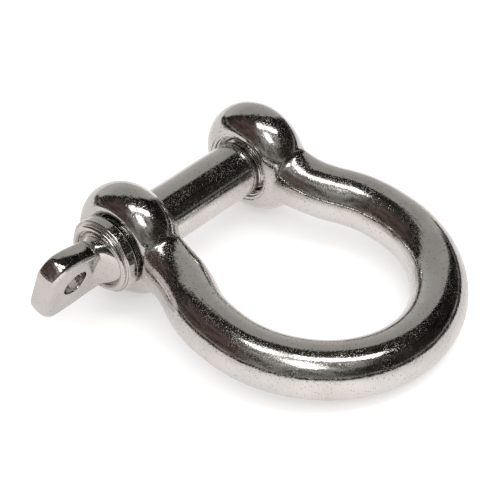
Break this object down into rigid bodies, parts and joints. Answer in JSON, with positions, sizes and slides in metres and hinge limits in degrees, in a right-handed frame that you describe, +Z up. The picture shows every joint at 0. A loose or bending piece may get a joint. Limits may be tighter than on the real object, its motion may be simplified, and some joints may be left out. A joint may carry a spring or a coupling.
{
  "type": "bow shackle",
  "caption": "Polished steel bow shackle with a screw pin: a round-bar bow with ball-like eyes and a pin with a flat tab, collar and threaded end.",
  "frame": {"origin": "middle of the bounding box's base; the shackle lies flat on Z = 0 on both eyes and the crown", "axes": "+X along the pin from its threaded end to its head, +Y from the pin to the bow's crown, +Z up"},
  "size_m": [0.0745, 0.076, 0.0242],
  "materials": {
    "bow_steel": "mirror-polished stainless steel",
    "pin_steel": "mirror-polished stainless steel"
  },
  "bodies": {
    "bow_body": {"bow": "bow_steel"},
    "sliding_shank": {"pin_shank": "pin_steel"},
    "turning_screw": {"pin_head": "pin_steel", "pin_thread": "pin_steel"}
  },
  "joints": [
    {"name": "pin_travel", "type": "slide", "parent": "bow_body", "child": "sliding_shank", "axis": [1, 0, 0], "range_m": [0, 0.051]},
    {"name": "pin_turn", "type": "hinge", "parent": "sliding_shank", "child": "turning_screw", "pos_m": [-0.0062, -0.02591, 0.0121], "axis": [1, 0, 0], "range_deg": [0, 10495]}
  ],
  "couplings": [
    {"joint": "pin_turn", "follows": "pin_travel", "rad_per_m": 3590.4}
  ]
}
